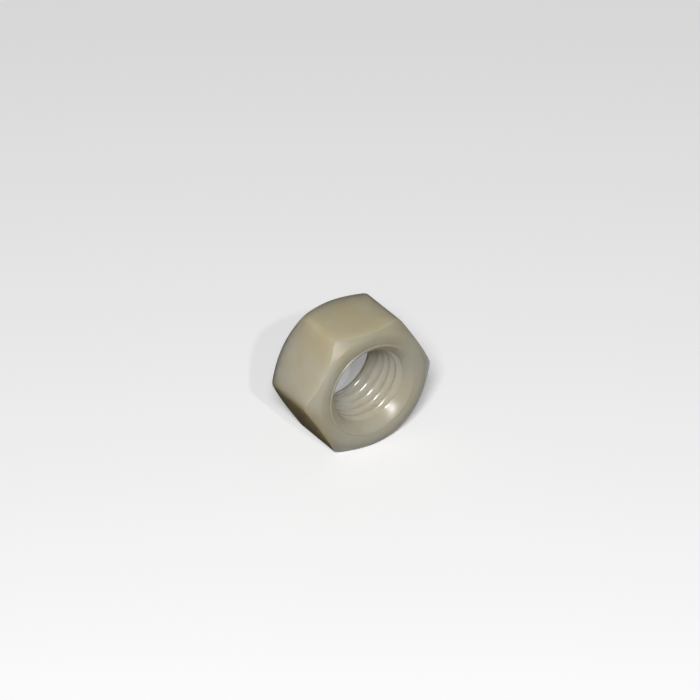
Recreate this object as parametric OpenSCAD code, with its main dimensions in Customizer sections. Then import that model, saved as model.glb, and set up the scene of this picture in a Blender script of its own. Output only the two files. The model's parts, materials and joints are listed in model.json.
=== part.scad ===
// Hexagon nut of natural nylon, turned from hexagon bar.
// The bore runs along Y, the nut stands on one flat and the origin is the middle of the bore.

/* [Hexagon] */
// Width across the flats, which is the spanner size
across_flats = 24; // [23:0.5:36]
// Thickness from one ring face to the other
thickness = 14.2; // [9:0.1:30]
// Radius of the six long corners of the bar
corner_r = 0.8; // [0.2:0.1:1.5]

/* [Turned ends] */
// How far each flat ring face stops inside the flats
face_inset = 0.6; // [0.2:0.1:1]
// Angle of the turned chamfers, measured from the ring face
chamfer_angle = 40; // [20:1:45]
// Radius that blends each chamfer into its ring face
blend_r = 1.5; // [0.2:0.1:2]

/* [Thread] */
// Nominal diameter of the thread
thread_d = 16; // [8:1:16]
// Pitch of the thread
thread_pitch = 2; // [1:0.25:2.5]
// How far each countersink reaches past the thread's largest radius
countersink_margin = 1; // [0.3:0.1:1.4]
// Included angle of the countersinks
countersink_angle = 90; // [80:5:120]
// Radius that breaks the rim of each countersink
rim_edge_r = 0.3; // [0.1:0.05:0.4]

/* [Hidden] */

nylon = [0.70, 0.66, 0.56];

sides = 6;
round_steps = 180;
arc_steps = 5;

// The bore is drilled to the crest of a 60 degree metric thread
thread_height = thread_pitch * sqrt(3) / 2;
depth_share = 5 / 8;
bore_r = thread_d / 2 - thread_height * depth_share;

top = thickness / 2;
rim_r = thread_d / 2 + countersink_margin;
countersink_depth = (rim_r - bore_r) / tan(countersink_angle / 2);

face_r = across_flats / 2 - face_inset;
sharp_corner_r = across_flats / 2 / cos(180 / sides);
bar_spare = 1;
turned_r = sharp_corner_r + bar_spare;
chamfer_depth = (turned_r - face_r) * tan(chamfer_angle);

function unit(v) = v / norm(v);

// Arc of radius r that rounds a corner and touches the two sides beside it
function round_corner(before, corner, after, r) =
    let (
        to_before = unit(before - corner),
        to_after = unit(after - corner),
        half_angle = acos(to_before * to_after) / 2,
        start = corner + to_before * r / tan(half_angle),
        finish = corner + to_after * r / tan(half_angle),
        centre = corner + unit(to_before + to_after) * r / sin(half_angle)
    )
    [for (i = [0 : arc_steps]) centre + r * unit(start + (finish - start) * i / arc_steps - centre)];

// Closed outline with an arc at each corner whose radius isn't zero
function round_outline(points, radii) =
    let (n = len(points))
    [for (i = [0 : n - 1])
        each radii[i] == 0
            ? [points[i]]
            : round_corner(points[(i + n - 1) % n], points[i], points[(i + 1) % n], radii[i])];

// Hexagon bar, a flat up, with its long corners rounded
module hexagon_bar() {
    corners = [for (i = [0 : sides - 1])
        sharp_corner_r * [cos(i * 360 / sides), sin(i * 360 / sides)]];
    linear_extrude(height = thickness + 2 * bar_spare, center = true)
        polygon(round_outline(corners, [for (c = corners) corner_r]));
}

// What the lathe leaves: ring faces, chamfers, the bore and its countersinks
module turned_ring() {
    end_half = [
        [bore_r, top - countersink_depth],
        [rim_r, top],
        [face_r, top],
        [turned_r, top - chamfer_depth]
    ];
    end_radii = [0, rim_edge_r, blend_r, 0];
    last = len(end_half) - 1;
    other_half = [for (i = [last : -1 : 0]) [end_half[i].x, -end_half[i].y]];
    other_radii = [for (i = [last : -1 : 0]) end_radii[i]];
    rotate_extrude($fn = round_steps)
        polygon(round_outline(concat(end_half, other_half), concat(end_radii, other_radii)));
}

module nut() {
    color(nylon)
        rotate([90, 0, 0])
            intersection() {
                hexagon_bar();
                turned_ring();
            }
}

nut();
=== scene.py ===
import bmesh
import bpy
import json
from math import ceil, cos, pi, radians, sin, sqrt, tan
from mathutils import Matrix, Vector


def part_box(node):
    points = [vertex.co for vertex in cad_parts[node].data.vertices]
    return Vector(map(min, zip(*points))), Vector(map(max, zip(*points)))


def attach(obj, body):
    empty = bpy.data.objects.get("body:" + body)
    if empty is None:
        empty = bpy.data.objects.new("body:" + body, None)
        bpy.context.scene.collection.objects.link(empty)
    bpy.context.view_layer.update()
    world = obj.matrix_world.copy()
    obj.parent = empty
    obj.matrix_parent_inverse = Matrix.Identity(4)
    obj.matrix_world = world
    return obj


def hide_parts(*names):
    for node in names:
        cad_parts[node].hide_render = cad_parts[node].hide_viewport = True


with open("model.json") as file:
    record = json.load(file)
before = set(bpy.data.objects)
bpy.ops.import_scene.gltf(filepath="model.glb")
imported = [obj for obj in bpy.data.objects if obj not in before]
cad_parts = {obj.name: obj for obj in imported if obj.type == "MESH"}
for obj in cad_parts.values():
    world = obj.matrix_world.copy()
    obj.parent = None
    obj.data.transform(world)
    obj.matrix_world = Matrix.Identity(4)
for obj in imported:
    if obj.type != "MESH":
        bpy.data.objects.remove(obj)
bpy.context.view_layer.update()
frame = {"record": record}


# Camera: a long lens from the left and above, far enough off that the nut shows almost no
# perspective. It aims a little over the nut, which then sits low in the picture.
azimuth = radians(-34.1)
elevation = radians(33.1)
distance = 1.5
picture_width = 0.1261
aim_right = -0.0002
aim_up = 0.0041
to_camera = Vector((sin(azimuth) * cos(elevation), -cos(azimuth) * cos(elevation), sin(elevation)))
camera_right = Vector((cos(azimuth), sin(azimuth), 0))
camera_up = to_camera.cross(camera_right)
camera = bpy.data.objects.new("camera", bpy.data.cameras.new("camera"))
bpy.context.scene.collection.objects.link(camera)
camera.data.sensor_width = 36
camera.data.lens = camera.data.sensor_width * distance / picture_width
camera.data.clip_end = 10
camera.location = to_camera * distance + camera_right * aim_right + camera_up * aim_up
camera.rotation_mode = "QUATERNION"
camera.rotation_quaternion = to_camera.to_track_quat("Z", "Y")
bpy.context.scene.camera = camera


# Nut: one piece of natural nylon. A length of hexagon bar is faced, chamfered, drilled and
# countersunk on the lathe, and a tap then cuts a right-hand thread through it.
# The mesh is worked in millimetres, as the maker would, and brought to metres at the end.
metre = 1000
corner_half_turn = radians(30)
lowest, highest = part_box("nut")
across_flats = (highest.z - lowest.z) * metre
thickness = (highest.y - lowest.y) * metre
half = thickness / 2
face_inset = 0.6
thread = [mount for mount in frame["record"]["mounts"] if mount["name"] == "thread"][0]
crest_r = thread["dims"]["r_mm"]
thread_pitch = 2.0
thread_height = thread_pitch * sqrt(3) / 2
root_r = crest_r + thread_height * 5 / 8
turn_steps = 240


def nylon(name, tint, glow, shine, matt, marks):
    """Natural nylon: waxy, faintly cloudy, and marked by the tool or die that made the surface.

    It is darker and yellower towards the top, and browner on the flat at the lower left: both are
    painted shade."""
    material = bpy.data.materials.new(name)
    material.use_nodes = True
    tree = material.node_tree
    shader = tree.nodes["Principled BSDF"]
    shader.inputs["Subsurface Weight"].default_value = glow
    shader.inputs["Subsurface Radius"].default_value = (1.0, 0.95, 0.85)
    shader.inputs["Subsurface Scale"].default_value = 0.020
    shader.inputs["IOR"].default_value = 1.53
    shader.inputs["Specular IOR Level"].default_value = shine

    def node(kind, **sockets):
        made = tree.nodes.new("ShaderNode" + kind)
        for socket, value in sockets.items():
            socket = socket.replace("_", " ")
            if isinstance(value, bpy.types.NodeSocket):
                tree.links.new(value, made.inputs[socket])
            else:
                made.inputs[socket].default_value = value
        return made

    place = node("TexCoord").outputs["Object"]
    clouds = node("TexNoise", Vector=place, Scale=170, Detail=3, Roughness=0.5).outputs["Fac"]
    tone = node("ValToRGB", Fac=clouds)
    tone.color_ramp.elements[0].position = 0.35
    tone.color_ramp.elements[0].color = (tint[0] * 0.98, tint[1] * 0.94, tint[2] * 0.88, 1)
    tone.color_ramp.elements[1].position = 0.65
    tone.color_ramp.elements[1].color = (tint[0] * 1.01, tint[1] * 1.04, tint[2] * 1.07, 1)
    colour = tone.outputs["Color"]
    top = (0, 0, 1)
    lower_left = (-cos(corner_half_turn), 0, -sin(corner_half_turn))
    # Painted shade: the colour is multiplied darker and yellower towards the top flat, and browner on
    # the flat at the lower left that stands in its own shade.
    for toward, start, painted_shade_tint in (
        (top, 0.006, (0.88, 0.86, 0.77, 1)),
        (lower_left, 0.0105, (1, 0.91, 0.74, 1)),
    ):
        reach = node("VectorMath", Vector=place)
        reach.operation = "DOT_PRODUCT"
        reach.inputs[1].default_value = toward
        painted_shade_mask = node("MapRange", Value=reach.outputs["Value"], From_Min=start, From_Max=highest.z)
        painted_shade = node("MixRGB", Fac=painted_shade_mask.outputs["Result"], Color1=colour, Color2=painted_shade_tint)
        painted_shade.blend_type = "MULTIPLY"
        colour = painted_shade.outputs["Color"]
    tree.links.new(colour, shader.inputs["Base Color"])

    polish = node("TexNoise", Vector=place, Scale=700, Detail=2)
    gloss = node("MapRange", Value=polish.outputs["Fac"])
    gloss.inputs["To Min"].default_value = matt
    gloss.inputs["To Max"].default_value = matt * 1.1
    tree.links.new(gloss.outputs["Result"], shader.inputs["Roughness"])

    grain = node("TexNoise", Vector=place, Scale=5000, Detail=2).outputs["Fac"]
    fine = node("Bump", Height=grain, Strength=0.5, Distance=0.000004)
    height, depth = marks(node, place)
    marked = node("Bump", Height=height, Distance=depth, Normal=fine.outputs["Normal"])
    tree.links.new(marked.outputs["Normal"], shader.inputs["Normal"])
    return material


def drawn_marks(node, place):
    """Faint lines that the die leaves along the bar."""
    along = node("Mapping", Vector=place, Scale=(2500, 40, 2500))
    lines = node("TexNoise", Vector=along.outputs["Vector"], Scale=1, Detail=3)
    return lines.outputs["Fac"], 0.000012


def turned_marks(node, place):
    """Fine rings round the bore that the lathe tool leaves."""
    apart = node("SeparateXYZ", Vector=place)
    across = node("CombineXYZ", X=apart.outputs["X"], Z=apart.outputs["Z"])
    radius = node("VectorMath")
    radius.operation = "LENGTH"
    radius.id_data.links.new(across.outputs["Vector"], radius.inputs[0])
    rings = node("CombineXYZ", X=radius.outputs["Value"], Y=apart.outputs["Y"])
    lines = node("TexNoise", Vector=rings.outputs["Vector"], Scale=9000, Detail=2)
    return lines.outputs["Fac"], 0.000012


def new_piece(name, bm, material):
    """Makes an object of one material from a finished bmesh."""
    mesh = bpy.data.meshes.new(name)
    bm.to_mesh(mesh)
    bm.free()
    mesh.materials.append(material)
    piece = bpy.data.objects.new(name, mesh)
    bpy.context.scene.collection.objects.link(piece)
    return piece


def hexagon_bar():
    """Drawn bar, a flat up, its six long corners rounded."""
    corner_radius = 1.6
    spare = 4
    length = thickness + spare
    across_corners = across_flats / cos(corner_half_turn)
    lay_along_y = Matrix.Rotation(radians(90), 4, "X")
    flat_up = Matrix.Rotation(corner_half_turn, 3, "Y")
    bm = bmesh.new()
    bmesh.ops.create_circle(bm, cap_ends=True, segments=6, radius=across_corners / 2, matrix=lay_along_y)
    bmesh.ops.rotate(bm, verts=bm.verts, cent=(0, 0, 0), matrix=flat_up)
    bmesh.ops.translate(bm, verts=bm.verts, vec=(0, -length / 2, 0))
    pushed = bmesh.ops.extrude_face_region(bm, geom=bm.faces[:])
    far_end = [v for v in pushed["geom"] if isinstance(v, bmesh.types.BMVert)]
    bmesh.ops.translate(bm, verts=far_end, vec=(0, length, 0))
    bmesh.ops.recalc_face_normals(bm, faces=bm.faces)
    long_corners = [e for e in bm.edges if abs(e.verts[0].co.y - e.verts[1].co.y) > thickness]
    bmesh.ops.bevel(
        bm, geom=long_corners, offset=corner_radius * tan(corner_half_turn), offset_type="OFFSET",
        segments=8, profile=0.5, affect="EDGES", material=-1,
    )
    ivory = (0.525, 0.466, 0.347)
    drawn = nylon("drawn_nylon", ivory, glow=1.0, shine=0.0, matt=0.75, marks=drawn_marks)
    return new_piece("nylon_nut", bm, drawn)


def at_radius(bm, radius):
    """The points of a section that lie at one distance from the axis."""
    return [v for v in bm.verts if abs(v.co.x - radius) < 0.01]


def turned_ring():
    """What the lathe leaves of the bar: ring faces, chamfers, pilot hole and countersinks.

    Each mouth is steeper deeper in, and a shallow groove outside it leaves its rim as a fine lip."""
    face_r = across_flats / 2 - face_inset
    turned_r = 16
    chamfer_slope = radians(40)
    blend_radius = 1.5
    rim_r = crest_r + (thickness - thread["dims"]["length_mm"]) / 2
    rim_setback = 0.12 * tan(radians(40) / 2)
    groove_bottom_r = rim_r + 0.22
    groove_outer_r = rim_r + 0.9
    groove_depth = 0.24
    groove_setback = 0.15 * tan(radians(20) / 2)
    mouth_r = rim_r - 0.9
    mouth_slope = radians(40)
    deep_slope = radians(52)
    bell_radius = 6
    pilot_r = 6
    chamfer_foot = half - (turned_r - face_r) * tan(chamfer_slope)
    mouth_foot = half - (rim_r - mouth_r) * tan(mouth_slope)
    countersink_foot = mouth_foot - (mouth_r - pilot_r) * tan(deep_slope)
    front = [
        (pilot_r, -countersink_foot),
        (mouth_r, -mouth_foot),
        (rim_r, -half),
        (groove_bottom_r, groove_depth - half),
        (groove_outer_r, -half),
        (face_r, -half),
        (turned_r, -chamfer_foot),
    ]
    back = [(r, -y) for r, y in reversed(front)]
    # How far from each corner its rounding starts.
    setbacks = (
        (mouth_r, bell_radius * tan((deep_slope - mouth_slope) / 2)),
        (rim_r, rim_setback),
        (groove_bottom_r, groove_setback),
        (face_r, blend_radius * tan(chamfer_slope / 2)),
    )
    bm = bmesh.new()
    bm.faces.new([bm.verts.new((r, y, 0)) for r, y in front + back])
    for corner_r, setback in setbacks:
        bmesh.ops.bevel(
            bm, geom=at_radius(bm, corner_r), offset=setback, offset_type="OFFSET",
            segments=5, profile=0.5, affect="VERTICES", material=-1,
        )
    bmesh.ops.delete(bm, geom=bm.faces[:], context="FACES_ONLY")
    bmesh.ops.spin(
        bm, geom=bm.verts[:] + bm.edges[:], cent=(0, 0, 0), axis=(0, 1, 0), dvec=(0, 0, 0),
        angle=2 * pi, steps=turn_steps, use_merge=True,
    )
    bmesh.ops.remove_doubles(bm, verts=bm.verts, dist=1e-4)
    bmesh.ops.recalc_face_normals(bm, faces=bm.faces)
    # Painted shade: the turned faces get a darker copy of the nylon colour than the flats, though the
    # nut is one piece of one nylon.
    shaded_ivory = (0.40, 0.367, 0.28)
    turned = nylon("turned_nylon", shaded_ivory, glow=0.5, shine=0.34, matt=0.28, marks=turned_marks)
    return new_piece("turned_ring", bm, turned)


def tap():
    """The tap: a 60 degree thread section, one pitch repeated, screwed round by one whole turn."""
    spare_turns = 4
    turns = ceil(thickness / thread_pitch) + spare_turns
    start = -turns / 2 * thread_pitch
    half_crest = thread_pitch / 8
    half_root = thread_pitch / 16
    crest_setback = 0.24
    root_setback = 0.12
    points = []
    for turn in range(turns):
        crest = start + turn * thread_pitch
        root = crest + thread_pitch / 2
        points += [(crest_r, crest - half_crest), (crest_r, crest + half_crest)]
        points += [(root_r, root - half_root), (root_r, root + half_root)]
    points += [(crest_r, start + turns * thread_pitch - half_crest)]
    bm = bmesh.new()
    row = [bm.verts.new((r, y, 0)) for r, y in points]
    for a, b in zip(row, row[1:]):
        bm.edges.new((a, b))
    for corner_r, setback in ((crest_r, crest_setback), (root_r, root_setback)):
        bmesh.ops.bevel(
            bm, geom=[v for v in at_radius(bm, corner_r) if len(v.link_edges) == 2],
            offset=setback, offset_type="OFFSET", segments=4, profile=0.5, affect="VERTICES",
            material=-1,
        )
    bmesh.ops.spin(
        bm, geom=bm.verts[:] + bm.edges[:], cent=(0, 0, 0), axis=(0, 1, 0),
        dvec=(0, thread_pitch / turn_steps, 0), angle=2 * pi, steps=turn_steps,
    )
    bmesh.ops.remove_doubles(bm, verts=bm.verts, dist=1e-3)
    tap_end = half + 1
    for end in (-1, 1):
        bmesh.ops.bisect_plane(
            bm, geom=bm.verts[:] + bm.edges[:] + bm.faces[:], dist=1e-5,
            plane_co=(0, end * tap_end, 0), plane_no=(0, end, 0), clear_outer=True,
        )
    bmesh.ops.holes_fill(bm, edges=[e for e in bm.edges if e.is_boundary], sides=0)
    bmesh.ops.recalc_face_normals(bm, faces=bm.faces)
    pale_ivory = (0.52, 0.47, 0.353)
    tapped = nylon("tapped_nylon", pale_ivory, glow=0.95, shine=1.0, matt=0.15, marks=turned_marks)
    return new_piece("tap", bm, tapped)


def cut(piece, tool, operation):
    """Makes one exact cut in the piece and puts the tool away."""
    modifier = piece.modifiers.new("cut", "BOOLEAN")
    modifier.object = tool
    modifier.operation = operation
    modifier.solver = "EXACT"
    modifier.material_mode = "TRANSFER"
    evaluated = piece.evaluated_get(bpy.context.evaluated_depsgraph_get())
    finished = bpy.data.meshes.new_from_object(evaluated)
    piece.modifiers.clear()
    piece.data = finished
    bpy.data.objects.remove(tool)


nut = hexagon_bar()
cut(nut, turned_ring(), "INTERSECT")

bm = bmesh.new()
bm.from_mesh(nut.data)
bmesh.ops.remove_doubles(bm, verts=bm.verts, dist=1e-4)
edge_setback = 0.15
crisp = radians(30)
chamfer_edges = [
    e for e in bm.edges
    if e.calc_face_angle(0) > crisp and e.verts[0].co.xz.length > across_flats / 2 - face_inset
]
bmesh.ops.bevel(
    bm, geom=chamfer_edges, offset=edge_setback, offset_type="OFFSET",
    segments=4, profile=0.5, affect="EDGES", material=-1, clamp_overlap=True,
)
bm.to_mesh(nut.data)
bm.free()
cut(nut, tap(), "DIFFERENCE")

bm = bmesh.new()
bm.from_mesh(nut.data)
bmesh.ops.scale(bm, verts=bm.verts, vec=(1 / metre, 1 / metre, 1 / metre))
for face in bm.faces:
    face.smooth = True
bm.to_mesh(nut.data)
bm.free()
nut.data.set_sharp_from_angle(angle=radians(32))
weighted = nut.modifiers.new("even_flats", "WEIGHTED_NORMAL")
weighted.keep_sharp = True
weighted.weight = 60
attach(nut, "root")
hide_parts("nut")


# Floor: a plain pale table top under the flat that the nut stands on. It shows pale and keeps the
# nut's shadow, and throws little light back up at the underside.
floor_pale = 0.80
floor_dark = 0.01
floor_glow = 0.28
floor_radius = 4
bm = bmesh.new()
under_the_nut = Matrix.Translation((0, 0, lowest.z))
bmesh.ops.create_circle(bm, cap_ends=True, segments=96, radius=floor_radius, matrix=under_the_nut)
table = bpy.data.materials.new("pale_table")
table.use_nodes = True
nodes = table.node_tree.nodes
links = table.node_tree.links
nodes.clear()


def shown(tree):
    """1 where a surface is seen, straight or in a reflection, and 0 where it only lights others."""
    rays = tree.nodes.new("ShaderNodeLightPath").outputs
    seen = rays["Is Camera Ray"]
    for ray in ("Is Glossy Ray", "Is Transmission Ray"):
        pick = tree.nodes.new("ShaderNodeMath")
        pick.operation = "MAXIMUM"
        tree.links.new(seen, pick.inputs[0])
        tree.links.new(rays[ray], pick.inputs[1])
        seen = pick.outputs["Value"]
    return seen


floor_shown = shown(table.node_tree)
tone = nodes.new("ShaderNodeMapRange")
tone.inputs["To Min"].default_value = floor_dark
tone.inputs["To Max"].default_value = floor_pale
links.new(floor_shown, tone.inputs["Value"])
matt = nodes.new("ShaderNodeBsdfDiffuse")
links.new(tone.outputs["Result"], matt.inputs["Color"])
lift = nodes.new("ShaderNodeMath")
lift.operation = "MULTIPLY"
lift.inputs[1].default_value = floor_glow
links.new(floor_shown, lift.inputs[0])
glow = nodes.new("ShaderNodeEmission")
links.new(lift.outputs["Value"], glow.inputs["Strength"])
both = nodes.new("ShaderNodeAddShader")
links.new(matt.outputs["BSDF"], both.inputs[0])
links.new(glow.outputs["Emission"], both.inputs[1])
output = nodes.new("ShaderNodeOutputMaterial")
links.new(both.outputs["Shader"], output.inputs["Surface"])
floor = new_piece("floor", bm, table)


# Studio: a soft lamp over the left shoulder, a small one nearer the camera that puts glints on the
# edges and the thread, a weak one behind for the far side, and a little light all round.
def lamp(name, toward, size, watts):
    """A round lamp, turned to the nut from one direction and as far off as the others."""
    away = 0.9
    light = bpy.data.lights.new(name, "AREA")
    light.shape = "DISK"
    light.size = size
    light.energy = watts
    made = bpy.data.objects.new(name, light)
    bpy.context.scene.collection.objects.link(made)
    toward = Vector(toward).normalized()
    made.location = toward * away
    made.rotation_mode = "QUATERNION"
    made.rotation_quaternion = toward.to_track_quat("Z", "Y")


lamp("front_lamp", toward=(-0.47, -0.605, 0.643), size=0.20, watts=7.2)
lamp("glint_lamp", toward=(-0.28, -0.75, 0.60), size=0.03, watts=1.5)
lamp("back_lamp", toward=(0.50, 0.86, 0.04), size=0.30, watts=0.7)
world = bpy.data.worlds.new("studio")
bpy.context.scene.world = world
world.use_nodes = True
room_dark = 0.02
room_pale = 0.85
room = world.node_tree.nodes["Background"]
room.inputs["Color"].default_value = (1, 1, 1, 1)
room_tone = world.node_tree.nodes.new("ShaderNodeMapRange")
room_tone.inputs["To Min"].default_value = room_dark
room_tone.inputs["To Max"].default_value = room_pale
world.node_tree.links.new(shown(world.node_tree), room_tone.inputs["Value"])
world.node_tree.links.new(room_tone.outputs["Result"], room.inputs["Strength"])

scene = bpy.context.scene
scene.view_settings.view_transform = "Standard"
